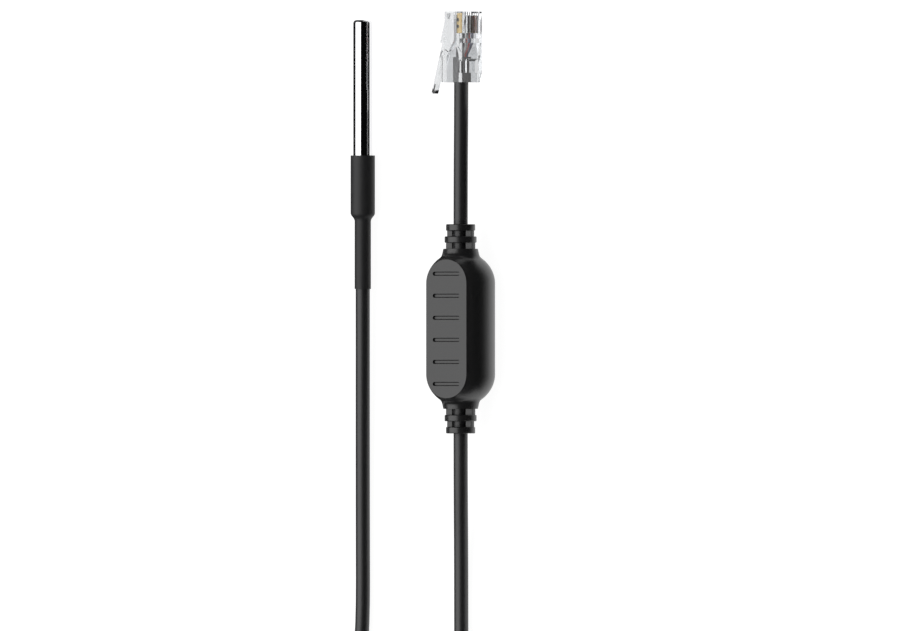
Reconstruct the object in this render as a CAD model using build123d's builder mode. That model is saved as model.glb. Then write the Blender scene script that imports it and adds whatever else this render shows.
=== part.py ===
from build123d import *
import math
import os

os.makedirs("parts", exist_ok=True)

# A temperature probe as it lies on a table: the probe along Y with its tip at +Y, its cable led to a
# coil and back to an inline module, and a short lead from the module to a clear modular plug.
# Millimetres, +Z up, the origin under the middle of the probe.

# Cable
cable_d = 4.5
core_d = 0.98
core_spread = 0.85
bend_share = 0.45

# Probe: sheath, sleeve and what the sheath holds
sheath_d = 6.0
sheath_length = 60.0
sheath_wall = 0.3
tip_wall = 0.6
tip_radius = 1.0
sleeve_wall = 0.33
sleeve_big_d = 7.7
sleeve_big_length = 18.0
sleeve_taper_length = 2.9
sleeve_small_length = 21.3
sleeve_past_sheath = 0.8
jacket_in_sheath = 9.5
bead_d = 2.4
bead_length = 4.6
bead_from_tip = 1.6
bead_edge = 0.35
lead_d = 0.4
lead_spacing = 1.2
lead_sleeve_d = 0.9
lead_sleeve_gap = 0.5
lead_length = 11.5
lead_in_bead = 1.0
splice_d = 1.1
splice_length = 3.0
potting_length = 13.0

# Module: flats above and below, sides that bulge between them, round ends
module_x = 39.8
module_y = -55.1
module_thickness = 16.7
module_flat_width = 15.1
module_belly_width = 20.2
module_straight = 28.6
shoulder_radius = 2.2
groove_count = 6
groove_pitch = 6.95
groove_length = 10.15
groove_width = 1.3
groove_depth = 0.65
groove_draft = 24

# Strain reliefs: three rings and two windows at each end. Ring 3 ends the cone that grows out of the
# housing, and its place is given from the module's middle.
ring_3_end = 25.25
window_2_length = 1.9
ring_2_length = 2.0
window_1_length = 1.8
ring_1_length = 2.05
ring_1_d = 9.2
ring_2_d = 10.1
ring_3_d = 10.9
relief_root = 20.0
relief_root_d = 13.3
rib_gap = 0.35
window_1_width = 9.1
window_1_rib = 2.0
window_2_width = 9.9
window_2_rib = 2.1
ring_edge = 0.3

# What the module holds
block_length = 41.0
block_width = 12.6
block_height = 9.6
jacket_in_block = 1.5
board_length = 33.0
board_width = 9.0
board_thickness = 1.2
core_on_board = 3.0
core_lift = 0.08
solder_width = 1.4
solder_length = 2.0
solder_height = 1.3
chip_length = 4.9
chip_width = 3.9
chip_height = 1.5
chip_standoff = 0.15
chip_legs = 4
chip_leg_pitch = 1.27
chip_leg_width = 0.4
chip_leg_reach = 1.0
chip_y = 3.0
regulator_size = 2.9
regulator_height = 1.1
regulator_y = -6.5
oscillator_length = 3.2
oscillator_width = 2.5
oscillator_height = 0.8
oscillator_y = 9.5
capacitor_length = 2.0
capacitor_width = 1.25
capacitor_height = 0.9
capacitor_pitch = 3.0
capacitor_x = 2.6
capacitor_y = -7.0
resistor_length = 1.6
resistor_width = 0.8
resistor_height = 0.45
resistor_pitch = 1.9
resistor_x = -3.0
resistor_y = -9.0

# Plug, lying on its side: width along Z, thickness along X, latch towards -X
plug_x = 38.39
plug_rear_y = 22.67
plug_length = 22.3
plug_width = 11.68
plug_rear_thickness = 8.2
plug_nose_thickness = 6.7
plug_step = 8.5
plug_edge = 0.35
cavity_width = 8.6
cavity_depth = 8.5
cavity_top_taper = 2.8
cavity_floor_taper = 4.7
jacket_in_plug = 8.0
wire_slot_end = 21.2
wire_slot_clearance = 0.02
contact_count = 8
contact_pitch = 1.02
contact_thickness = 0.32
contact_length = 6.3
contact_height = 2.1
contact_recess = 0.6
contact_setback = 0.5
contact_nose_radius = 0.6
contact_notch_width = 1.1
contact_notch_height = 0.7
contact_slot_clearance = 0.05
crimp_bar_y = 3.0
crimp_bar_length = 3.6
crimp_bar_width = 6.4
crimp_bar_depth = 1.1
crimp_bar_slope = 0.8
wire_bar_y = 12.4
wire_bar_length = 1.4
wire_bar_width = 8.0
wire_bar_depth = 1.7
latch_width = 6.0
latch_tip_width = 3.25
latch_thickness = 1.0
latch_tip_thickness = 0.8
latch_root = 2.3
latch_root_embed = 0.3
latch_root_chamfer = 0.5
latch_angle = 14.5
latch_reach = 26.0
latch_narrow = 12.5
wire_positions = {"black": 7, "white": 5, "red": 4, "blue": 2}
wire_straight = 1.2
wire_fan = 3.4
wire_bend_radius = 1.6
wire_end_gap = 0.2

# Coil of the cable's put-away length
coil_x = 17.6
coil_y = -223.0
coil_outer_turn = 27.5
coil_columns = 3
coil_layers = 4
coil_stub = 17.0
coil_turns = 11.5

# Derived heights and places
cable_r = cable_d / 2
probe_z = sleeve_big_d / 2
probe_length = sheath_length + sleeve_past_sheath + sleeve_taper_length + sleeve_small_length
probe_tip_y = probe_length / 2
sheath_end_y = probe_tip_y - sheath_length
sleeve_shoulder_y = sheath_end_y - sleeve_past_sheath
sleeve_front_y = sleeve_shoulder_y + sleeve_big_length
sleeve_taper_y = sleeve_shoulder_y - sleeve_taper_length
sleeve_end_y = sleeve_taper_y - sleeve_small_length
jacket_front_y = sheath_end_y + jacket_in_sheath
module_z = module_thickness / 2
plug_z = plug_width / 2
coil_inner_turn = coil_outer_turn - (coil_columns - 1) * cable_d
coil_height = coil_layers * cable_d
coil_top_z = coil_height - cable_r
coil_end_y = coil_y + coil_stub

probe_plane = Plane((0, 0, probe_z))
probe_axis = Axis((0, 0, probe_z), (0, 1, 0))
module_middle = Plane((module_x, module_y, module_z))
module_section = Plane((module_x, module_y, module_z), x_dir=(1, 0, 0), z_dir=(0, -1, 0))
module_axis = Axis((module_x, module_y, module_z), (0, 1, 0))
plug_side = Plane((plug_x, plug_rear_y, plug_z))


def bar_along_y(x, y_from, y_to, z, diameter):
    """Round bar from y_from to y_to."""
    with BuildPart() as bar:
        with BuildSketch(Plane((x, y_from, z), x_dir=(1, 0, 0), z_dir=(0, 1, 0))):
            Circle(diameter / 2)
        extrude(amount=y_to - y_from)
    return bar


# Probe sheath: a drawn tube with a closed, slightly rounded tip
with BuildPart() as probe_sheath:
    with BuildSketch(probe_plane):
        with BuildLine():
            outer_r = sheath_d / 2
            inner_r = outer_r - sheath_wall
            inner_tip_y = probe_tip_y - tip_wall
            inner_tip_radius = tip_radius - sheath_wall
            Line((inner_r, sheath_end_y), (outer_r, sheath_end_y))
            Line((outer_r, sheath_end_y), (outer_r, probe_tip_y - tip_radius))
            RadiusArc((outer_r, probe_tip_y - tip_radius),
                      (outer_r - tip_radius, probe_tip_y), -tip_radius)
            Line((outer_r - tip_radius, probe_tip_y), (0, probe_tip_y))
            Line((0, probe_tip_y), (0, inner_tip_y))
            Line((0, inner_tip_y), (inner_r - inner_tip_radius, inner_tip_y))
            RadiusArc((inner_r - inner_tip_radius, inner_tip_y),
                      (inner_r, inner_tip_y - inner_tip_radius), inner_tip_radius)
            Line((inner_r, inner_tip_y - inner_tip_radius), (inner_r, sheath_end_y))
        make_face()
    revolve(axis=probe_axis)


def sleeve_shoulder(radius_drop):
    """Curve in which a sleeve surface goes from the sheath's thickness down to the cable's."""
    big_r = sleeve_big_d / 2 - radius_drop
    small_r = cable_r + sleeve_wall - radius_drop
    Spline((big_r, sleeve_shoulder_y), (small_r, sleeve_taper_y), tangents=[(0, -1), (0, -1)])
    return big_r, small_r


# Outer heat-shrink sleeve, over the sheath's end and the first of the cable
with BuildPart() as heat_shrink_sleeve:
    with BuildSketch(probe_plane):
        with BuildLine():
            big_r, small_r = sleeve_shoulder(0)
            big_bore, small_bore = sleeve_shoulder(sleeve_wall)
            Line((small_r, sleeve_taper_y), (small_r, sleeve_end_y))
            Line((small_r, sleeve_end_y), (small_bore, sleeve_end_y))
            Line((small_bore, sleeve_end_y), (small_bore, sleeve_taper_y))
            Line((big_bore, sleeve_shoulder_y), (big_bore, sleeve_front_y))
            Line((big_bore, sleeve_front_y), (big_r, sleeve_front_y))
            Line((big_r, sleeve_front_y), (big_r, sleeve_shoulder_y))
        make_face()
    revolve(axis=probe_axis)

# Inner sleeve, which fills the step between the sheath and the outer sleeve
with BuildPart() as inner_sleeve:
    with BuildSketch(probe_plane):
        with BuildLine():
            layer_r, layer_end_r = sleeve_shoulder(sleeve_wall)
            Line((layer_r, sleeve_shoulder_y), (layer_r, sleeve_front_y))
            Line((layer_r, sleeve_front_y), (sheath_d / 2, sleeve_front_y))
            Line((sheath_d / 2, sleeve_front_y), (sheath_d / 2, sheath_end_y))
            Line((sheath_d / 2, sheath_end_y), (cable_r, sheath_end_y))
            Line((cable_r, sheath_end_y), (cable_r, sleeve_taper_y))
        make_face()
    revolve(axis=probe_axis)

# Epoxy ring that holds the cable in the mouth of the sheath
with BuildPart() as rear_seal:
    with BuildSketch(Plane((0, sheath_end_y, probe_z), x_dir=(1, 0, 0), z_dir=(0, 1, 0))):
        Circle(sheath_d / 2 - sheath_wall)
        Circle(cable_r, mode=Mode.SUBTRACT)
    extrude(amount=jacket_in_sheath)

# The sensing bead's two wires, with a sleeve on each and a crimped splice to the core behind it
bead_rear_y = probe_tip_y - tip_wall - bead_from_tip - bead_length
lead_rear_y = bead_rear_y - lead_length
splice_rear_y = lead_rear_y - splice_length
lead_sleeve_rear_y = lead_rear_y + lead_sleeve_gap
lead_sleeve_front_y = bead_rear_y - lead_sleeve_gap
sensor_leads = []
lead_sleeves = []
splices = []
probe_cores = []
for side in (-1, 1):
    lead_x = side * lead_spacing / 2
    sensor_leads.append(bar_along_y(lead_x, lead_rear_y, bead_rear_y + lead_in_bead, probe_z, lead_d))
    splices.append(bar_along_y(lead_x, splice_rear_y, lead_rear_y, probe_z, splice_d))
    probe_cores.append(bar_along_y(lead_x, jacket_front_y, splice_rear_y, probe_z, core_d))
    with BuildPart() as lead_sleeve:
        with BuildSketch(Plane((lead_x, lead_sleeve_rear_y, probe_z), x_dir=(1, 0, 0), z_dir=(0, 1, 0))):
            Circle(lead_sleeve_d / 2)
            Circle(lead_d / 2, mode=Mode.SUBTRACT)
        extrude(amount=lead_sleeve_front_y - lead_sleeve_rear_y)
    lead_sleeves.append(lead_sleeve)

# Sensing bead near the closed tip, moulded round the ends of its wires
with BuildPart() as sensor_bead:
    with BuildSketch(Plane((0, bead_rear_y, probe_z), x_dir=(1, 0, 0), z_dir=(0, 1, 0))):
        Circle(bead_d / 2)
    extrude(amount=bead_length)
    fillet(sensor_bead.edges().filter_by(GeomType.CIRCLE), radius=bead_edge)
    for lead in sensor_leads:
        add(lead.part, mode=Mode.SUBTRACT)

# Heat-conducting compound that fills the tip round the bead
with BuildPart() as thermal_potting:
    with BuildSketch(probe_plane):
        with BuildLine():
            bore_r = sheath_d / 2 - sheath_wall
            bore_tip_y = probe_tip_y - tip_wall
            bore_corner = tip_radius - sheath_wall
            fill_rear_y = bore_tip_y - potting_length
            Line((0, fill_rear_y), (bore_r, fill_rear_y))
            Line((bore_r, fill_rear_y), (bore_r, bore_tip_y - bore_corner))
            RadiusArc((bore_r, bore_tip_y - bore_corner),
                      (bore_r - bore_corner, bore_tip_y), -bore_corner)
            Line((bore_r - bore_corner, bore_tip_y), (0, bore_tip_y))
            Line((0, bore_tip_y), (0, fill_rear_y))
        make_face()
    revolve(axis=probe_axis)
    add(sensor_bead.part, mode=Mode.SUBTRACT)
    for piece in sensor_leads + lead_sleeves:
        add(piece.part, mode=Mode.SUBTRACT)


# Cord routes. Each corner is rounded by as large an arc as its two runs allow.
def corner_radii(points):
    """Arc radius at each inner point of a route."""
    radii = []
    for before, corner, after in zip(points, points[1:], points[2:]):
        run_in = Vector(*corner) - Vector(*before)
        run_out = Vector(*after) - Vector(*corner)
        half_turn = math.radians(run_in.get_angle(run_out) / 2)
        radii.append(bend_share * min(run_in.length, run_out.length) / math.tan(half_turn))
    return radii


def route_tube(name, points, diameter):
    """Solid tube along a route of straight runs joined by tangent arcs, and its length."""
    radii = corner_radii(points)
    with BuildPart() as tube:
        with BuildLine() as path:
            FilletPolyline(*points, radius=radii)
        centre_line = path.wire()
        with BuildSketch(Plane(origin=centre_line @ 0, z_dir=centre_line % 0)):
            Circle(diameter / 2)
        sweep(path=centre_line)
    length = centre_line.length
    expected = length * math.pi * diameter ** 2 / 4
    rounded = ", ".join(f"{radius:.1f}" for radius in radii)
    print(f"{name}: length {length:.1f}, radii {rounded}, volume ratio {tube.part.volume / expected:.4f}")
    return tube, length


ring_2_start = ring_3_end + window_2_length
ring_2_end = ring_2_start + ring_2_length
ring_1_start = ring_2_end + window_1_length
relief_end = ring_1_start + ring_1_length
relief_lower_y = module_y - relief_end
jacket_in_module = block_length / 2 - jacket_in_block

probe_lead_route = [
    (0, jacket_front_y, probe_z),
    (0, -64, probe_z),
    (-1.05, -106, cable_r),
    (-0.9, -164, cable_r),
    (coil_x - coil_outer_turn, -192, cable_r),
    (coil_x - coil_outer_turn, coil_end_y, cable_r),
]
module_lead_route = [
    (coil_x + coil_outer_turn, coil_end_y, coil_top_z),
    (coil_x + coil_outer_turn, -190, coil_top_z),
    (36.1, -162, cable_r),
    (36.05, -126, cable_r),
    (module_x, -101, module_z),
    (module_x, module_y - jacket_in_module, module_z),
]
plug_lead_route = [
    (module_x, module_y + jacket_in_module, module_z),
    (module_x, -10, module_z),
    (plug_x, 15, plug_z),
    (plug_x, plug_rear_y + jacket_in_plug, plug_z),
]
probe_lead, probe_lead_length = route_tube("probe_lead", probe_lead_route, cable_d)
module_lead, module_lead_length = route_tube("module_lead", module_lead_route, cable_d)
plug_lead, plug_lead_length = route_tube("plug_lead", plug_lead_route, cable_d)
coil_length = coil_turns * math.pi * (coil_inner_turn + coil_outer_turn) + 2 * coil_stub
whole_length = probe_lead_length + coil_length + module_lead_length
print(f"coil: {coil_length:.0f} of cable, {whole_length:.0f} in all")

# Coil: the outer shape of the wound turns, with the first and last of the cable leaving it in line
with BuildPart() as cable_coil:
    with BuildSketch(Plane.XZ.offset(-coil_y)):
        with Locations((coil_x + (coil_inner_turn + coil_outer_turn) / 2, coil_height / 2)):
            RectangleRounded(coil_columns * cable_d, coil_height, cable_r)
    revolve(axis=Axis((coil_x, coil_y, 0), (0, 0, 1)))
    for side, stub_z in ((-1, cable_r), (1, coil_top_z)):
        stub_x = coil_x + side * coil_outer_turn
        with BuildSketch(Plane((stub_x, coil_y, stub_z), x_dir=(1, 0, 0), z_dir=(0, 1, 0))):
            Circle(cable_r)
        extrude(amount=coil_stub)

# Module housing: one soft moulding. Half of it is made and mirrored about the middle.
half_straight = module_straight / 2
flat_half = module_flat_width / 2
belly_half = module_belly_width / 2
side_top = module_thickness / 2
rings = ((ring_2_start, ring_2_length, ring_2_d), (ring_1_start, ring_1_length, ring_1_d))
windows = (
    (ring_3_end, window_2_length, window_2_width, window_2_rib),
    (ring_2_end, window_1_length, window_1_width, window_1_rib),
)

with BuildPart() as module_housing:
    with BuildSketch(module_section):
        with BuildLine():
            Line((-flat_half, -side_top), (flat_half, -side_top))
            ThreePointArc((flat_half, -side_top), (belly_half, 0), (flat_half, side_top))
            Line((flat_half, side_top), (-flat_half, side_top))
            ThreePointArc((-flat_half, side_top), (-belly_half, 0), (-flat_half, -side_top))
        make_face()
    extrude(amount=-half_straight)
    with BuildSketch(module_section.offset(-half_straight)):
        with BuildLine():
            Line((0, -side_top), (flat_half, -side_top))
            ThreePointArc((flat_half, -side_top), (belly_half, 0), (flat_half, side_top))
            Line((flat_half, side_top), (0, side_top))
            Line((0, side_top), (0, -side_top))
        make_face()
    revolve(axis=Axis((module_x, module_y + half_straight, module_z), (0, 0, 1)), revolution_arc=180)
    with BuildSketch(module_middle):
        Polygon((0, relief_root), (relief_root_d / 2, relief_root), (ring_3_d / 2, ring_3_end),
                (0, ring_3_end), align=None)
    revolve(axis=module_axis)
    fillet(module_housing.edges().filter_by(GeomType.BSPLINE), radius=shoulder_radius)
    for start, length, ring_d in rings:
        with BuildSketch(module_middle) as ring:
            with Locations((cable_r, start)):
                Rectangle(ring_d / 2 - cable_r, length, align=(Align.MIN, Align.MIN))
            fillet(ring.vertices().group_by(Axis.X)[-1], radius=ring_edge)
        revolve(axis=module_axis)
    for start, length, width, rib in windows:
        with BuildSketch(Plane((module_x, module_y + start, module_z), x_dir=(1, 0, 0), z_dir=(0, 1, 0))):
            Circle(width / 2)
            Rectangle(width, rib, mode=Mode.INTERSECT)
            Rectangle(2 * (cable_r + rib_gap), rib, mode=Mode.SUBTRACT)
        extrude(amount=length)
    mirror(about=Plane.XZ.offset(-module_y))
    with BuildSketch(module_middle.offset(side_top)):
        with GridLocations(0, groove_pitch, 1, groove_count):
            SlotOverall(groove_length, groove_width)
    extrude(amount=-groove_depth, taper=groove_draft, mode=Mode.SUBTRACT)
    with BuildSketch(module_middle.offset(-block_height / 2)):
        SlotOverall(block_length, block_width, rotation=90)
    extrude(amount=block_height, mode=Mode.SUBTRACT)
    with BuildSketch(Plane((module_x, relief_lower_y, module_z), x_dir=(1, 0, 0), z_dir=(0, 1, 0))):
        Circle(cable_r)
    extrude(amount=2 * relief_end, mode=Mode.SUBTRACT)

# Circuit board at the middle of the module, with its parts on the upper face
board_top = board_thickness / 2
with BuildPart() as circuit_board:
    with Locations((module_x, module_y, module_z)):
        Box(board_width, board_length, board_thickness)


def flat_part(x, y, width, length, height):
    """Small block that sits on the board."""
    with BuildPart() as block:
        with Locations((module_x + x, module_y + y, module_z + board_top)):
            Box(width, length, height, align=(Align.CENTER, Align.CENTER, Align.MIN))
    return block


with BuildPart() as converter_chip:
    with Locations((module_x, module_y + chip_y, module_z + board_top + chip_standoff)):
        Box(chip_width, chip_length, chip_height, align=(Align.CENTER, Align.CENTER, Align.MIN))
    leg_row = (chip_width + chip_leg_reach) / 2
    with Locations((module_x, module_y + chip_y, module_z + board_top)):
        with GridLocations(2 * leg_row, chip_leg_pitch, 2, chip_legs):
            Box(chip_leg_reach, chip_leg_width, chip_height / 2,
                align=(Align.CENTER, Align.CENTER, Align.MIN))

voltage_regulator = flat_part(0, regulator_y, regulator_size, regulator_size, regulator_height)
oscillator = flat_part(0, oscillator_y, oscillator_width, oscillator_length, oscillator_height)
capacitors = [
    flat_part(capacitor_x, capacitor_y + row * capacitor_pitch,
              capacitor_width, capacitor_length, capacitor_height)
    for row in range(3)
]
resistors = [
    flat_part(resistor_x, resistor_y + row * resistor_pitch,
              resistor_width, resistor_length, resistor_height)
    for row in range(4)
]

# Cores of the two cables on the ends of the board: two come in, four go out
core_z = board_top + core_lift + core_d / 2
core_tip = board_length / 2 - core_on_board
input_cores = [
    bar_along_y(module_x + side * core_spread, module_y - jacket_in_module, module_y - core_tip,
                module_z + core_z, core_d)
    for side in (-1, 1)
]
output_cores = [
    bar_along_y(module_x + side * core_spread, module_y + core_tip, module_y + jacket_in_module,
                module_z + face * core_z, core_d)
    for face in (-1, 1)
    for side in (-1, 1)
]


def solder_joints(end, faces, cores):
    """Solder that holds the cores' tips on the board."""
    with BuildPart() as joints:
        for face in faces:
            for side in (-1, 1):
                with Locations((module_x + side * core_spread,
                                module_y + end * (core_tip + solder_length / 2),
                                module_z + face * (board_top + solder_height / 2))):
                    Box(solder_width, solder_length, solder_height)
        fillet(joints.edges().filter_by(Axis.Z), radius=solder_width / 4)
        for core in cores:
            add(core.part, mode=Mode.SUBTRACT)
    return joints


input_solder = solder_joints(-1, (1,), input_cores)
output_solder = solder_joints(1, (-1, 1), output_cores)

# Hard block moulded round the board before the housing
module_contents = [circuit_board, converter_chip, voltage_regulator, oscillator]
module_contents += [input_solder, output_solder] + capacitors + resistors + input_cores + output_cores
with BuildPart() as inner_mould:
    with BuildSketch(module_middle.offset(-block_height / 2)):
        SlotOverall(block_length, block_width, rotation=90)
    extrude(amount=block_height)
    for piece in module_contents:
        add(piece.part, mode=Mode.SUBTRACT)
    for end in (-1, 1):
        with BuildSketch(Plane((module_x, module_y + end * jacket_in_module, module_z),
                               x_dir=(1, 0, 0), z_dir=(0, end, 0))):
            Circle(cable_r)
        extrude(amount=jacket_in_block, mode=Mode.SUBTRACT)

# Plug body: one clear moulding with its latch. Its side outline is drawn in X and Y.
contact_face_x = plug_rear_thickness / 2
nose_back_x = contact_face_x - plug_nose_thickness
contact_foot_x = contact_face_x - contact_recess - contact_height
wire_slot_floor_x = contact_foot_x - core_d - wire_slot_clearance
contact_rear_y = plug_length - contact_setback - contact_length


def contact_z(position):
    """Height of one contact position above the plug's middle."""
    return (position - (contact_count + 1) / 2) * contact_pitch


contact_planes = [plug_side.offset(contact_z(position)) for position in range(1, contact_count + 1)]

with BuildPart() as plug_body:
    with BuildSketch(plug_side):
        with BuildLine():
            Polyline((-contact_face_x, 0), (contact_face_x, 0), (contact_face_x, plug_length),
                     (nose_back_x, plug_length), (nose_back_x, plug_step), (-contact_face_x, plug_step),
                     (-contact_face_x, 0))
        make_face()
    extrude(amount=plug_width / 2, both=True)
    fillet(plug_body.edges().filter_by(Axis.Y), radius=plug_edge)
    with BuildSketch(plug_side):
        with BuildLine():
            Polyline((-cable_r, 0), (cable_r, 0), (cable_r, cavity_depth),
                     (contact_foot_x, cavity_depth + cavity_top_taper), (contact_foot_x, wire_slot_end),
                     (wire_slot_floor_x, wire_slot_end),
                     (wire_slot_floor_x, cavity_depth + cavity_floor_taper),
                     (-cable_r, cavity_depth), (-cable_r, 0))
        make_face()
    extrude(amount=cavity_width / 2, both=True, mode=Mode.SUBTRACT)
    with BuildSketch(plug_side):
        with BuildLine():
            bar_floor_x = contact_face_x - crimp_bar_depth
            bar_end_y = crimp_bar_y + crimp_bar_length
            Polyline((contact_face_x, crimp_bar_y), (bar_floor_x, crimp_bar_y), (bar_floor_x, bar_end_y),
                     (contact_face_x, bar_end_y + crimp_bar_slope), (contact_face_x, crimp_bar_y))
        make_face()
    extrude(amount=crimp_bar_width / 2, both=True, mode=Mode.SUBTRACT)
    with BuildSketch(plug_side):
        with Locations((contact_face_x - wire_bar_depth, wire_bar_y)):
            Rectangle(wire_bar_depth, wire_bar_length, align=(Align.MIN, Align.MIN))
    extrude(amount=wire_bar_width / 2, both=True, mode=Mode.SUBTRACT)
    with BuildSketch(*contact_planes):
        with Locations((contact_foot_x, contact_rear_y)):
            Rectangle(contact_face_x - contact_foot_x, plug_length - contact_rear_y,
                      align=(Align.MIN, Align.MIN))
    extrude(amount=contact_thickness / 2 + contact_slot_clearance, both=True, mode=Mode.SUBTRACT)
    with BuildSketch(plug_side):
        with BuildLine():
            slope = math.radians(latch_angle)
            latch_back_x = nose_back_x - latch_thickness
            root_y = plug_length - latch_root_chamfer
            outer_tip = (latch_back_x - latch_reach * math.sin(slope),
                         root_y - latch_reach * math.cos(slope))
            inner_tip = (outer_tip[0] + latch_tip_thickness * math.cos(slope),
                         outer_tip[1] - latch_tip_thickness * math.sin(slope))
            embed_x = nose_back_x + latch_root_embed
            Polyline((embed_x, plug_length), (latch_back_x + latch_root_chamfer, plug_length),
                     (latch_back_x, root_y), outer_tip, inner_tip, (nose_back_x, plug_length - latch_root),
                     (embed_x, plug_length - latch_root), (embed_x, plug_length))
        make_face()
    extrude(amount=latch_width / 2, both=True)
    for side in (-1, 1):
        with BuildSketch(plug_side.offset(side * latch_tip_width / 2)):
            with Locations((-contact_face_x, latch_narrow)):
                Rectangle(latch_reach, 2 * latch_reach, align=(Align.MAX, Align.MAX))
        extrude(amount=side * latch_width, mode=Mode.SUBTRACT)

# Contacts: thin blades with three prongs that stand on the wires
plug_contacts = []
contact_top_x = contact_face_x - contact_recess
for contact_plane in contact_planes:
    with BuildPart() as contact:
        with BuildSketch(contact_plane) as blade:
            with Locations((contact_foot_x, contact_rear_y)):
                Rectangle(contact_height, contact_length, align=(Align.MIN, Align.MIN))
            fillet(blade.vertices().sort_by(Axis.X)[-1], radius=contact_nose_radius)
            with Locations((contact_foot_x, contact_rear_y + contact_length / 2)):
                with GridLocations(0, contact_length / 3, 1, 2):
                    Rectangle(contact_notch_height, contact_notch_width, align=(Align.MIN, Align.CENTER),
                              mode=Mode.SUBTRACT)
        extrude(amount=contact_thickness / 2, both=True)
    plug_contacts.append(contact)

# Wires in the plug: they leave the cable in a row and fan out to their contacts
plug_wires = {}
wire_x = contact_foot_x - core_d / 2
for row, (colour, position) in enumerate(sorted(wire_positions.items(), key=lambda item: item[1])):
    start_z = (row - (len(wire_positions) - 1) / 2) * contact_pitch
    end_z = contact_z(position)
    with BuildPart() as wire:
        with BuildLine(Plane((plug_x, plug_rear_y, plug_z))) as path:
            FilletPolyline((0, jacket_in_plug, start_z), (0, jacket_in_plug + wire_straight, start_z),
                           (wire_x, jacket_in_plug + wire_straight + wire_fan, end_z),
                           (wire_x, wire_slot_end - wire_end_gap, end_z), radius=wire_bend_radius)
        wire_line = path.wire()
        with BuildSketch(Plane(origin=wire_line @ 0, z_dir=wire_line % 0)):
            Circle(core_d / 2)
        sweep(path=wire_line)
    plug_wires[colour] = wire

pieces = {
    "probe_sheath": probe_sheath,
    "heat_shrink_sleeve": heat_shrink_sleeve,
    "inner_sleeve": inner_sleeve,
    "rear_seal": rear_seal,
    "sensor_bead": sensor_bead,
    "thermal_potting": thermal_potting,
    "probe_lead": probe_lead,
    "cable_coil": cable_coil,
    "module_lead": module_lead,
    "plug_lead": plug_lead,
    "module_housing": module_housing,
    "inner_mould": inner_mould,
    "circuit_board": circuit_board,
    "converter_chip": converter_chip,
    "voltage_regulator": voltage_regulator,
    "oscillator": oscillator,
    "input_solder": input_solder,
    "output_solder": output_solder,
    "plug_body": plug_body,
}
rows = {
    "sensor_lead": sensor_leads,
    "lead_sleeve": lead_sleeves,
    "splice": splices,
    "probe_core": probe_cores,
    "capacitor": capacitors,
    "resistor": resistors,
    "input_core": input_cores,
    "output_core": output_cores,
    "plug_contact": plug_contacts,
}
for name, row in rows.items():
    for number, piece in enumerate(row, start=1):
        pieces[f"{name}_{number}"] = piece
for colour, wire in plug_wires.items():
    pieces[f"plug_wire_{colour}"] = wire

for name, piece in pieces.items():
    piece.part.label = name
    export_step(piece.part, f"parts/{name}.step")
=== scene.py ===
"""A temperature probe on a thin cable, with an inline module and a clear modular plug.

The packed nodes keep their shapes and get their finishes here. The sheath is made anew with finer
faces, and two smooth cords stand for the cable's solids. Lengths are in metres.
"""

import math

import bmesh
import bpy
from bpy.props import FloatProperty, FloatVectorProperty, IntProperty, PointerProperty
from mathutils import Matrix, Vector


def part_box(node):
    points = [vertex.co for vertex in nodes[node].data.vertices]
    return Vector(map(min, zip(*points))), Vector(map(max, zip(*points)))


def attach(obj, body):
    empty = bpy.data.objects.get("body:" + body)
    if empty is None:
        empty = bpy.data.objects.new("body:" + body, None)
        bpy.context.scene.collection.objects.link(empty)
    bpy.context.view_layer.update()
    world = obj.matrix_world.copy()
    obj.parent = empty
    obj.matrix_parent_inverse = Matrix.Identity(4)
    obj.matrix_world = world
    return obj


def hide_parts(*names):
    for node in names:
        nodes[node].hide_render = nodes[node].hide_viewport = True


bl_info = {
    "name": "Temperature Probe",
    "version": (1, 0, 0),
    "blender": (4, 5, 0),
    "location": "3D View > Sidebar > Temperature Probe",
    "description": "Dresses a temperature probe: sheath, sleeve, cable, module and clear plug",
    "category": "Add Mesh",
}

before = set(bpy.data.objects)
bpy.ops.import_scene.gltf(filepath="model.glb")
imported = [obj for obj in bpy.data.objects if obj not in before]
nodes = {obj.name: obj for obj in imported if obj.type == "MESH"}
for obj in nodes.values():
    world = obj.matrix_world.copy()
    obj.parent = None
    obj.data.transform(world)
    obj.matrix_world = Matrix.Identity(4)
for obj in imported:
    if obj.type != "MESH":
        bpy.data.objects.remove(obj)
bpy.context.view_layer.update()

# Control points of the cable: from the probe to the coil, from the coil to the module, and from the
# module to the plug
PROBE_ROUTE = [
    (0, -0.0135, 0.00385), (0, -0.064, 0.00385), (-0.00105, -0.106, 0.00225),
    (-0.0009, -0.164, 0.00225), (-0.0099, -0.192, 0.00225), (-0.0099, -0.206, 0.00225),
]
MODULE_ROUTE = [
    (0.0451, -0.206, 0.01575), (0.0451, -0.190, 0.01575), (0.0361, -0.162, 0.00225),
    (0.03605, -0.126, 0.00225), (0.0398, -0.101, 0.00835), (0.0398, -0.0741, 0.00835),
]
PLUG_ROUTE = [
    (0.0398, -0.0361, 0.00835), (0.0398, -0.010, 0.00835), (0.03839, 0.015, 0.00584),
    (0.03839, 0.03067, 0.00584),
]

# The coil: columns of turns from the outside in, and the heights of its layers
COIL_CENTRE = (0.0176, -0.223)
COIL_RADII = (0.0275, 0.023, 0.0185)
COIL_LAYERS = (0.00225, 0.00675, 0.01125, 0.01575)
COIL_TURNS = 11.5
COIL_CHANGE = (0.7, 1.0)  # part of a turn in which the cable moves over to the next column

CABLE_STEPS = 8  # between two control points
CABLE_ROUNDNESS = 8  # bevel resolution of the round section
ROUNDING_STEPS = 8  # round the sheath's tip
TIP_WALLS = 2  # thickness of the closed tip, in walls of the tube
MERGE_DISTANCE = 1e-7
CREASE = math.radians(30.0)  # sharper edges stay crisp

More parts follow.
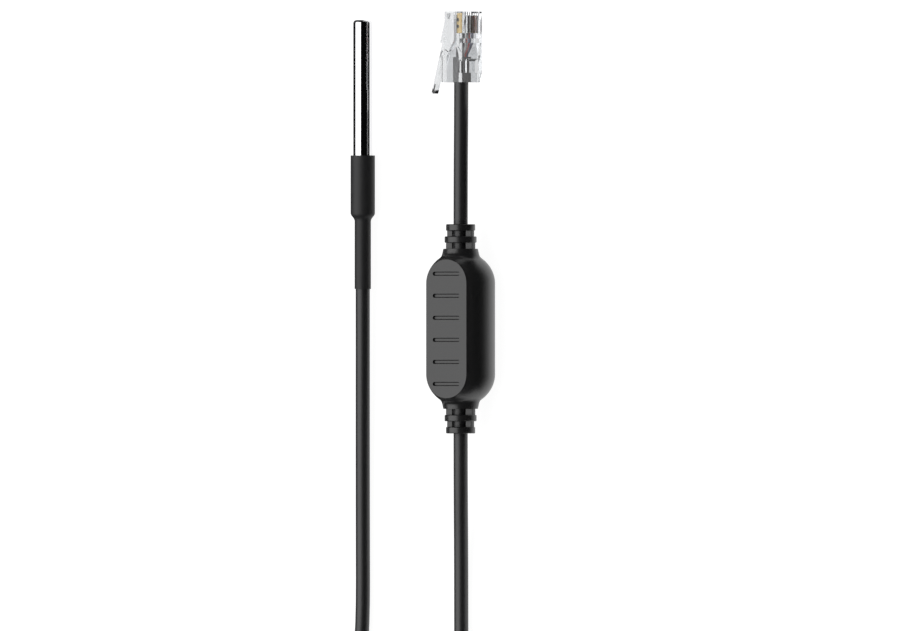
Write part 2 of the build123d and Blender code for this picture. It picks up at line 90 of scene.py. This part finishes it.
PLUG_CONTACTS = [f"plug_contact_{i}" for i in range(1, 9)]
PLUG_NODES = ["plug_body"] + PLUG_CONTACTS
PLUG_NODES += [f"plug_wire_{colour}" for colour in ("black", "white", "red", "blue")]

# The studio. Greys go from 0 to 1, and 1 shows white
PICTURE_MIDDLE = Vector((0.03038, -0.0509, 0.0))
PICTURE_UPRIGHT = Vector((0, 1, 0))
FLOOR_HALF = 3.0  # half of its width
FLOOR_HEIGHT = -0.0003
FLOOR_PAPER = 0.8  # as it lights the object
FLOOR_SHADED, FLOOR_GLOW = 0.16, 0.95  # as camera, reflections and clear plastic see it, in sum
SOFTBOX_SIZE = (2.2, 2.6)
SOFTBOX_DISTANCE = 1.5
SOFTBOX_LEAN = math.radians(-29.0)  # from straight above to the left
SKY_GLOSS = 0.002  # as reflections see it
ROOM_DARK, ROOM_PALE = 0.01, 0.5  # as clear plastic sees it, below and above
ROOM_RISE = (0.25, 0.55)  # upward part of the direction, where dark turns to pale

# Cards that lie on the floor: left, right, near and far side of each
CARD_HEIGHT = -0.0001
DARK_GREY = 0.001
DARK_CARDS = (
    (-0.6, -0.001, -0.45, 0.35), (0.0095, 0.0365, -0.45, 0.016), (0.0095, 0.033, 0.016, 0.35),
    (0.063, 0.7, -0.45, 0.35), (0.047, 0.063, -0.022, 0.016),
)
SIDE_GREYS = (0.6, 0.3, 0.1)  # strips beside the module, from its side outwards
SIDE_START, SIDE_WIDTH = 0.0535, 0.0033
SIDE_NEAR, SIDE_FAR = -0.088, -0.0225
PLUG_GREY = 0.02
PLUG_CARDS = (  # a ring round the plug
    (0.0105, 0.0225, 0.0085, 0.0585), (0.0445, 0.0565, 0.0085, 0.0585),
    (0.0225, 0.0445, 0.0465, 0.0585), (0.0225, 0.0445, 0.0085, 0.0205),
)


class CableSizes(bpy.types.PropertyGroup):
    """Sizes and colour of the cable."""

    diameter: FloatProperty(
        name="Diameter", description="Outside diameter of the jacket",
        default=0.0045, unit="LENGTH", precision=4)
    length: FloatProperty(
        name="Length", description="Stated length from the probe to the module, coil included",
        default=2.02, unit="LENGTH")
    plug_lead: FloatProperty(
        name="Plug lead", description="Stated length from the module to the plug",
        default=0.067, unit="LENGTH")
    turn_points: IntProperty(
        name="Points a turn", description="Control points on a turn of the coil",
        default=16, min=12)
    colour: FloatVectorProperty(
        name="Colour", description="Jacket colour",
        default=(0.012, 0.012, 0.013, 1.0), subtype="COLOR", size=4)


class ProbeSizes(bpy.types.PropertyGroup):
    """Sizes of the sheath, and its colour and the sleeve's."""

    sheath_diameter: FloatProperty(
        name="Sheath diameter", description="Outside diameter of the steel tube",
        default=0.006, unit="LENGTH", precision=4)
    sheath_wall: FloatProperty(
        name="Sheath wall", description="Thickness of the tube",
        default=0.0003, unit="LENGTH", precision=4)
    tip_radius: FloatProperty(
        name="Tip radius", description="Rounding of the closed tip",
        default=0.001, unit="LENGTH", precision=4)
    segments: IntProperty(
        name="Segments", description="Faces round the tube", default=96)
    steel: FloatVectorProperty(
        name="Steel", description="Colour of the steel",
        default=(0.86, 0.86, 0.87, 1.0), subtype="COLOR", size=4)
    sleeve: FloatVectorProperty(
        name="Sleeve", description="Colour of the sleeve",
        default=(0.014, 0.014, 0.015, 1.0), subtype="COLOR", size=4)


class ModuleLook(bpy.types.PropertyGroup):
    """Finish of the inline module."""

    colour: FloatVectorProperty(
        name="Colour", description="Colour of the moulding",
        default=(0.012, 0.012, 0.0125, 1.0), subtype="COLOR", size=4)
    grain: FloatProperty(
        name="Grain", description="Size of the moulded grain",
        default=0.0004, unit="LENGTH", precision=5)


class StageSettings(bpy.types.PropertyGroup):
    """Camera and light."""

    tilt: FloatProperty(
        name="Camera tilt", description="Camera's turn from straight above",
        default=math.radians(33.0), subtype="ANGLE")
    lens: FloatProperty(
        name="Lens", description="Focal length in millimetres", default=1200.0)
    frame_width: FloatProperty(
        name="Frame width", description="Width of the picture at the table",
        default=0.2842, unit="LENGTH")
    key_power: FloatProperty(
        name="Key light", description="Power of the large softbox", default=33.0)
    fill: FloatProperty(
        name="Fill", description="Strength of the light from all round", default=0.25)


class Value:
    """One output of a node. In an expression it adds its own Math nodes."""

    def __init__(self, finish, socket):
        self.finish = finish
        self.socket = socket

    def math(self, operation, other):
        """A Math node that works on this value and the other."""
        return self.finish.value("ShaderNodeMath", {"operation": operation}, {0: self, 1: other})

    def __add__(self, other):
        return self.math("ADD", other)

    def __radd__(self, other):
        return self.math("ADD", other)

    def __mul__(self, other):
        return self.math("MULTIPLY", other)

    def __rmul__(self, other):
        return self.math("MULTIPLY", other)


class Finish:
    """A material, or the world, and the nodes that make it."""

    def __init__(self, name, world=False):
        self.made = (bpy.data.worlds if world else bpy.data.materials).new(name)
        self.made.use_nodes = True
        self.tree = self.made.node_tree
        self.tree.nodes.clear()
        self.ending = "ShaderNodeOutputWorld" if world else "ShaderNodeOutputMaterial"

    def node(self, kind, settings=None, inputs=None):
        """A node of that kind: its settings come first, then its sockets are set or linked."""
        made = self.tree.nodes.new(kind)
        for name, setting in (settings or {}).items():
            setattr(made, name, setting)
        for name, given in (inputs or {}).items():
            if isinstance(given, Value):
                self.tree.links.new(given.socket, made.inputs[name])
            else:
                made.inputs[name].default_value = given
        return made

    def value(self, kind, settings=None, inputs=None, output=0):
        """One output of a new node."""
        return Value(self, self.node(kind, settings, inputs).outputs[output])

    def noise(self, size, scale=(1, 1, 1), detail=3.0):
        """Noise in Object coordinates, with grains of about that size where the scale is 1."""
        coordinates = self.value("ShaderNodeTexCoord", output="Object")
        place = self.value("ShaderNodeMapping", inputs={"Vector": coordinates, "Scale": scale})
        inputs = {"Vector": place, "Scale": 1.0 / size, "Detail": detail}
        return self.value("ShaderNodeTexNoise", inputs=inputs, output="Fac")

    def varied(self, factor, colour, dark, light):
        """Colour that goes from dark times to light times itself as the factor rises."""
        # A Mix node of colours has them in sockets 6 and 7, and its result in output 2
        inputs = {0: factor, 6: shade(colour, dark), 7: shade(colour, light)}
        return self.value("ShaderNodeMix", {"data_type": "RGBA"}, inputs, output=2)

    def bump(self, height, distance, strength):
        """Surface normal raised by height times distance."""
        inputs = {"Height": height, "Distance": distance, "Strength": strength}
        return self.value("ShaderNodeBump", inputs=inputs, output="Normal")

    def ray(self, *kinds):
        """1 for rays of these kinds, and 0 for others."""
        path = self.node("ShaderNodeLightPath")
        seen, *others = [Value(self, path.outputs[kind]) for kind in kinds]
        for other in others:
            seen = seen.math("MAXIMUM", other)
        return seen

    def glow(self, level):
        """Shader that gives off an even grey."""
        return self.value("ShaderNodeEmission", inputs={"Color": grey(level), "Strength": 1.0})

    def principled(self, **sockets):
        """Principled shader. The sockets' names have underscores for spaces."""
        inputs = {name.replace("_", " "): given for name, given in sockets.items()}
        return self.value("ShaderNodeBsdfPrincipled", inputs=inputs)

    def either(self, factor, first, second):
        """First shader where the factor is 0, and second where it is 1."""
        return self.value("ShaderNodeMixShader", inputs={0: factor, 1: first, 2: second})

    def end(self, shader):
        """The finished material or world, which shows this shader."""
        self.node(self.ending, inputs={"Surface": shader})
        return self.made


def shade(colour, factor):
    """Colour made lighter or darker."""
    return (colour[0] * factor, colour[1] * factor, colour[2] * factor, 1.0)


def grey(level):
    """Grey as a shader's colour."""
    return (level, level, level, 1.0)


def jacket_finish(colour):
    """Extruded soft plastic: satin, with faint clouds in its colour and gloss."""
    finish = Finish("cable_jacket")
    fine = finish.noise(size=0.0006, detail=4.0)
    broad = finish.noise(size=0.006)
    return finish.end(finish.principled(
        Base_Color=finish.varied(broad, colour, dark=0.85, light=1.2),
        Roughness=0.42 + 0.05 * fine,
        Normal=finish.bump(fine, distance=0.00001, strength=0.4),
        IOR=1.66,
    ))


def sleeve_finish(colour):
    """Shrunk sleeve: satin, with faint lengthwise drawing and dents."""
    finish = Finish("shrunk_sleeve")
    drawn = finish.noise(size=0.0007, scale=(1, 0.15, 1))
    dents = finish.noise(size=0.004, detail=1.0)
    return finish.end(finish.principled(
        Base_Color=finish.varied(drawn, colour, dark=0.8, light=1.25),
        Roughness=0.5 + 0.1 * drawn,
        Normal=finish.bump(drawn * 0.3 + dents, distance=0.00006, strength=0.6),
        IOR=1.5,
    ))


def moulding_finish(colour, grain):
    """Soft moulded plastic with a fine spark-eroded grain."""
    finish = Finish("module_moulding")
    fine = finish.noise(size=grain, detail=2.0)
    broad = finish.noise(size=0.012)
    return finish.end(finish.principled(
        Base_Color=finish.varied(broad, colour, dark=0.92, light=1.08),
        Roughness=0.28 + 0.08 * fine,
        Normal=finish.bump(fine, distance=0.00002, strength=0.4),
        IOR=1.62,
    ))


def steel_finish(colour):
    """Polished drawn steel with hair-fine lines along the tube."""
    finish = Finish("polished_steel")
    lines = finish.noise(size=0.00018, scale=(1, 0.01, 1), detail=2.0)
    return finish.end(finish.principled(
        Base_Color=finish.varied(lines, colour, dark=0.96, light=1.04),
        Metallic=1.0,
        Roughness=0.05 + 0.02 * lines,
    ))


def plain_finish(name, colour, metallic=0.0, roughness=0.4):
    """Small part of one stuff, with fine variation in colour, gloss and surface."""
    finish = Finish(name)
    fine = finish.noise(size=0.0005)
    return finish.end(finish.principled(
        Base_Color=finish.varied(fine, colour, dark=0.88, light=1.1),
        Metallic=metallic,
        Roughness=roughness + 0.1 * fine,
        Normal=finish.bump(fine, distance=0.00001, strength=0.5),
    ))


def clear_finish():
    """Clear moulded plastic. Light for what is inside passes straight through."""
    finish = Finish("clear_plastic")
    ripple = finish.noise(size=0.003, detail=1.0)
    clear = finish.principled(
        Base_Color=(0.68, 0.69, 0.7, 1.0),
        Roughness=0.02,
        IOR=1.5,
        Specular_IOR_Level=0.15,
        Transmission_Weight=1.0,
        Normal=finish.bump(ripple, distance=0.00003, strength=0.5),
    )
    tint = {"Color": (0.93, 0.94, 0.95, 1.0)}
    through = finish.value("ShaderNodeBsdfTransparent", inputs=tint)
    return finish.end(finish.either(finish.ray("Is Shadow Ray"), clear, through))


def dress(names, material):
    """Gives CAD nodes a material."""
    for name in names:
        data = nodes[name].data
        data.materials.clear()
        data.materials.append(material)


def add_object(name, data):
    """New object in the scene, at the origin."""
    made = bpy.data.objects.new(name, data)
    bpy.context.scene.collection.objects.link(made)
    return made


def add_mesh(name, mesh, material):
    """New object from a bmesh, which is used up."""
    data = bpy.data.meshes.new(name)
    mesh.to_mesh(data)
    mesh.free()
    data.materials.append(material)
    return add_object(name, data)


def smooth(mesh):
    """Smooth shading, with sharp edges kept crisp."""
    for face in mesh.faces:
        face.smooth = True
    for edge in mesh.edges:
        edge.smooth = len(edge.link_faces) < 2 or edge.calc_face_angle(0.0) < CREASE


def spun(profile, rounding, height, segments):
    """Mesh of revolution about the probe's axis, from a closed outline of (y, radius) points.
    Rounding gives the radius at some of them, by their number."""
    mesh = bmesh.new()
    points = [mesh.verts.new((radius, y, height)) for y, radius in profile]
    for first, second in zip(points, points[1:]):
        mesh.edges.new((first, second))
    for index, size in rounding.items():
        bmesh.ops.bevel(mesh, geom=[points[index]], offset=size, offset_type="OFFSET",
                        segments=ROUNDING_STEPS, profile=0.5, affect="VERTICES", material=-1)
    outline = mesh.verts[:] + mesh.edges[:]
    bmesh.ops.spin(mesh, geom=outline, cent=(0, 0, height), axis=(0, 1, 0), angle=math.tau,
                   steps=segments, use_merge=True)
    bmesh.ops.remove_doubles(mesh, verts=mesh.verts, dist=MERGE_DISTANCE)
    bmesh.ops.recalc_face_normals(mesh, faces=mesh.faces)
    return mesh


def cable(name, points, diameter, material):
    """Cord on one smooth spline through its control points."""
    curve = bpy.data.curves.new(name, "CURVE")
    curve.dimensions = "3D"
    curve.resolution_u = CABLE_STEPS
    curve.bevel_depth = diameter / 2
    curve.bevel_resolution = CABLE_ROUNDNESS
    curve.use_fill_caps = True
    curve.materials.append(material)
    spline = curve.splines.new("NURBS")
    spline.points.add(len(points) - 1)
    for point, place in zip(spline.points, points):
        point.co = (*place, 1.0)
    spline.order_u = 3
    spline.use_endpoint_u = True
    piece = add_object(name, curve)
    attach(piece, "root")
    return piece


def step(share, start, end):
    """Smooth rise from 0 to 1 between start and end."""
    t = min(1.0, max(0.0, (share - start) / (end - start)))
    return t * t * (3 - 2 * t)


def coil_points(per_turn):
    """Control points of the wound turns: columns in and out, one layer above the other."""
    turns = []
    for number, height in enumerate(COIL_LAYERS):
        radii = COIL_RADII if number % 2 == 0 else reversed(COIL_RADII)
        turns += [(radius, height) for radius in radii]
    # The spline runs inside its control points, which stand further out by as much
    swell = 1 / (0.75 + 0.25 * math.cos(math.tau / per_turn))
    points = []
    for index in range(int(COIL_TURNS * per_turn) + 1):
        turn, place = divmod(index, per_turn)
        here = turns[turn]
        ahead = turns[min(turn + 1, len(turns) - 1)]
        change = step(place / per_turn, *COIL_CHANGE)
        radius = (here[0] + (ahead[0] - here[0]) * change) * swell
        height = here[1] + (ahead[1] - here[1]) * change
        angle = math.pi + math.tau * index / per_turn  # starts at the left, below the probe
        points.append((COIL_CENTRE[0] + radius * math.cos(angle),
                       COIL_CENTRE[1] + radius * math.sin(angle), height))
    return points


class MESH_OT_probe_cables(bpy.types.Operator):
    """The cable from the probe through its coil to the module, and the plug's short lead"""

    bl_idname = "mesh.probe_cables"
    bl_label = "Cables"

    def execute(self, context):
        sizes = context.scene.cable_sizes
        material = jacket_finish(sizes.colour)
        route = PROBE_ROUTE + coil_points(sizes.turn_points) + MODULE_ROUTE
        long_cable = cable("probe_cable", route, sizes.diameter, material)
        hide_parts("probe_lead", "cable_coil", "module_lead")
        short_cable = cable("plug_cable", PLUG_ROUTE, sizes.diameter, material)
        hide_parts("plug_lead")
        return {"FINISHED"}


class MESH_OT_probe_sheath(bpy.types.Operator):
    """The steel sheath and the shrunk sleeve behind it"""

    bl_idname = "mesh.probe_sheath"
    bl_label = "Sheath and sleeve"

    def execute(self, context):
        sizes = context.scene.probe_sizes
        low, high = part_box("probe_sheath")
        radius = sizes.sheath_diameter / 2
        bore = radius - sizes.sheath_wall
        axis_height = (low.z + high.z) / 2
        tip_inside = high.y - TIP_WALLS * sizes.sheath_wall
        # From the open end's bore round the outside to the closed tip, and back inside. Point 2 is
        # the tip's outer edge
        profile = [(low.y, bore), (low.y, radius), (high.y, radius), (high.y, 0),
                   (tip_inside, 0), (tip_inside, bore), (low.y, bore)]
        mesh = spun(profile, {2: sizes.tip_radius}, axis_height, sizes.segments)
        smooth(mesh)
        sheath = add_mesh("steel_sheath", mesh, steel_finish(sizes.steel))
        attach(sheath, "root")
        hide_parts("probe_sheath")
        dress(["heat_shrink_sleeve", "inner_sleeve"], sleeve_finish(sizes.sleeve))
        return {"FINISHED"}


class MESH_OT_probe_module(bpy.types.Operator):
    """The inline module's moulding and what it holds, and the bare metal in the probe"""

    bl_idname = "mesh.probe_module"
    bl_label = "Module"

    def execute(self, context):
        look = context.scene.module_look
        dress(["module_housing"], moulding_finish(look.colour, look.grain))
        dress(["inner_mould"], plain_finish("inner_block", (0.03, 0.03, 0.03), roughness=0.5))
        dress(["circuit_board"], plain_finish("solder_mask", (0.02, 0.16, 0.06), roughness=0.3))
        dress(["converter_chip", "voltage_regulator"] + [f"resistor_{i}" for i in range(1, 5)],
              plain_finish("chip_case", (0.02, 0.02, 0.02), roughness=0.5))
        dress([f"capacitor_{i}" for i in range(1, 4)],
              plain_finish("capacitor_body", (0.35, 0.22, 0.12), roughness=0.35))
        dress(["oscillator", "input_solder", "output_solder", "sensor_lead_1", "sensor_lead_2",
               "splice_1", "splice_2"],
              plain_finish("tinned_metal", (0.6, 0.6, 0.58), metallic=1.0, roughness=0.25))
        return {"FINISHED"}


class MESH_OT_probe_filling(bpy.types.Operator):
    """What the sheath holds"""

    bl_idname = "mesh.probe_filling"
    bl_label = "Probe filling"

    def execute(self, context):
        dress(["rear_seal", "sensor_bead"],
              plain_finish("epoxy", (0.02, 0.02, 0.02), roughness=0.25))
        dress(["thermal_potting"], plain_finish("potting", (0.7, 0.7, 0.67), roughness=0.6))
        dress(["lead_sleeve_1", "lead_sleeve_2"], plain_finish("lead_sleeve", (0.7, 0.66, 0.5)))
        return {"FINISHED"}


class MESH_OT_probe_plug(bpy.types.Operator):
    """The clear plug with its contacts, and the coloured cores"""

    bl_idname = "mesh.probe_plug"
    bl_label = "Plug"

    def execute(self, context):
        dress(["plug_body"], clear_finish())
        dress(PLUG_CONTACTS,
              plain_finish("gold_plate", (0.5, 0.36, 0.15), metallic=1.0, roughness=0.35))
        cores = {
            "black": ((0.012, 0.012, 0.012),
                      ["plug_wire_black", "probe_core_2", "input_core_2", "output_core_1"]),
            "white": ((0.72, 0.72, 0.70), ["plug_wire_white", "output_core_2"]),
            "red": ((0.85, 0.02, 0.015),
                    ["plug_wire_red", "probe_core_1", "input_core_1", "output_core_3"]),
            "blue": ((0.02, 0.03, 0.14), ["plug_wire_blue", "output_core_4"]),
        }
        for colour, (shown, names) in cores.items():
            dress(names, plain_finish(f"core_{colour}", shown, roughness=0.3))
        return {"FINISHED"}


class SCENE_OT_probe_stage(bpy.types.Operator):
    """Floor, cards, softbox, fill light and camera"""

    bl_idname = "scene.probe_stage"
    bl_label = "Stage"

    def execute(self, context):
        settings = context.scene.stage_settings
        context.scene.view_settings.view_transform = "Standard"
        self.floor()
        self.cards("dark_cards", DARK_GREY, DARK_CARDS)
        for number, level in enumerate(SIDE_GREYS):
            left = SIDE_START + SIDE_WIDTH * number
            strip = (left, left + SIDE_WIDTH, SIDE_NEAR, SIDE_FAR)
            self.cards(f"side_card_{number + 1}", level, [strip])
        self.cards("grey_cards", PLUG_GREY, PLUG_CARDS, through=True)
        context.scene.world = self.sky(settings.fill)
        self.softbox(settings.key_power)
        data = bpy.data.cameras.new("camera")
        data.lens = settings.lens
        data.clip_start = 0.01
        camera = add_object("camera", data)
        distance = settings.frame_width * settings.lens / data.sensor_width
        camera.matrix_world = self.facing(settings.tilt, distance)
        context.scene.camera = camera
        return {"FINISHED"}

    def facing(self, lean, distance):
        """Turn and place of a camera or lamp that looks at the picture's middle from that
        distance, leaned to the right from straight above."""
        back = Vector((math.sin(lean), 0, math.cos(lean)))
        right = PICTURE_UPRIGHT.cross(back)
        turn = Matrix((right, PICTURE_UPRIGHT, back)).transposed().to_4x4()
        return Matrix.Translation(PICTURE_MIDDLE + back * distance) @ turn

    def floor(self):
        """Pale floor that shows white and keeps a soft shadow."""
        finish = Finish("pale_floor")
        paper = finish.value("ShaderNodeBsdfDiffuse", inputs={"Color": grey(FLOOR_PAPER)})
        shaded = finish.value("ShaderNodeBsdfDiffuse", inputs={"Color": grey(FLOOR_SHADED)})
        parts = {0: shaded, 1: finish.glow(FLOOR_GLOW)}
        shown = finish.value("ShaderNodeAddShader", inputs=parts)
        seen = finish.ray("Is Camera Ray", "Is Glossy Ray", "Is Transmission Ray")
        material = finish.end(finish.either(seen, paper, shown))
        mesh = bmesh.new()
        bmesh.ops.create_grid(mesh, x_segments=1, y_segments=1, size=FLOOR_HALF,
                              matrix=Matrix.Translation((0, 0, FLOOR_HEIGHT)))
        floor = add_mesh("floor", mesh, material)

    def cards(self, name, level, places, through=False):
        """Grey cards on the floor, as a studio lays them, which only reflections see, or only
        clear plastic."""
        finish = Finish(name)
        material = finish.end(finish.glow(level))
        mesh = bmesh.new()
        for left, right, near, far in places:
            middle = ((left + right) / 2, (near + far) / 2, CARD_HEIGHT)
            size = Matrix.Diagonal(((right - left) / 2, (far - near) / 2, 1.0, 1.0))
            bmesh.ops.create_grid(mesh, x_segments=1, y_segments=1, size=1.0,
                                  matrix=Matrix.Translation(middle) @ size)
        cards = add_mesh(name, mesh, material)
        cards.visible_camera = False
        cards.visible_diffuse = False
        cards.visible_shadow = False
        cards.visible_glossy = not through
        cards.visible_transmission = through

    def sky(self, fill):
        """World: white behind the picture, an even grey as light, near black in reflections, and
        through clear plastic a room that is dark below and pale above."""
        sky = Finish("studio", world=True)

        def plain(strength):
            """An even grey of that strength."""
            inputs = {"Color": grey(1.0), "Strength": strength}
            return sky.value("ShaderNodeBackground", inputs=inputs)

        direction = sky.value("ShaderNodeTexCoord", output="Generated")
        upward = sky.value("ShaderNodeSeparateXYZ", inputs={0: direction}, output="Z")
        start, end = ROOM_RISE
        rise = {"Value": upward, "From Min": start, "From Max": end}
        pale = sky.value("ShaderNodeMapRange", inputs=rise)
        room = sky.either(pale, plain(ROOM_DARK), plain(ROOM_PALE))
        shown = plain(fill)
        for kind, view in (("Is Glossy Ray", plain(SKY_GLOSS)), ("Is Transmission Ray", room),
                           ("Is Camera Ray", plain(1.0))):
            shown = sky.either(sky.ray(kind), shown, view)
        return sky.end(shown)

    def softbox(self, power):
        """One large softbox above, to the left of the camera."""
        lamp = bpy.data.lights.new("softbox", "AREA")
        lamp.shape = "RECTANGLE"
        lamp.size, lamp.size_y = SOFTBOX_SIZE
        lamp.energy = power
        box = add_object("softbox", lamp)
        box.matrix_world = self.facing(SOFTBOX_LEAN, SOFTBOX_DISTANCE)


class VIEW3D_PT_probe(bpy.types.Panel):
    """Lists the operators and their sizes"""

    bl_label = "Temperature Probe"
    bl_idname = "VIEW3D_PT_probe"
    bl_space_type = "VIEW_3D"
    bl_region_type = "UI"
    bl_category = "Temperature Probe"

    def draw(self, context):
        layout = self.layout
        for owner, group in GROUPS.items():
            box = layout.box()
            box.label(text=group.__doc__)
            settings = getattr(context.scene, owner)
            for name in group.__annotations__:
                box.prop(settings, name)
        for operator in OPERATORS:
            layout.operator(operator.bl_idname)


GROUPS = {
    "cable_sizes": CableSizes,
    "probe_sizes": ProbeSizes,
    "module_look": ModuleLook,
    "stage_settings": StageSettings,
}
OPERATORS = (
    MESH_OT_probe_cables,
    MESH_OT_probe_sheath,
    MESH_OT_probe_module,
    MESH_OT_probe_filling,
    MESH_OT_probe_plug,
    SCENE_OT_probe_stage,
)


def register():
    """Adds the settings, the operators and the panel."""
    for owner, group in GROUPS.items():
        bpy.utils.register_class(group)
        setattr(bpy.types.Scene, owner, PointerProperty(type=group))
    for operator in OPERATORS:
        bpy.utils.register_class(operator)
    bpy.utils.register_class(VIEW3D_PT_probe)


def unregister():
    """Takes away what register added."""
    bpy.utils.unregister_class(VIEW3D_PT_probe)
    for operator in reversed(OPERATORS):
        bpy.utils.unregister_class(operator)
    for owner, group in GROUPS.items():
        delattr(bpy.types.Scene, owner)
        bpy.utils.unregister_class(group)


def main():
    """Builds every piece and the stage."""
    register()
    bpy.ops.mesh.probe_cables()
    bpy.ops.mesh.probe_sheath()
    bpy.ops.mesh.probe_module()
    bpy.ops.mesh.probe_filling()
    bpy.ops.mesh.probe_plug()
    bpy.ops.scene.probe_stage()


if __name__ == "__main__":
    main()
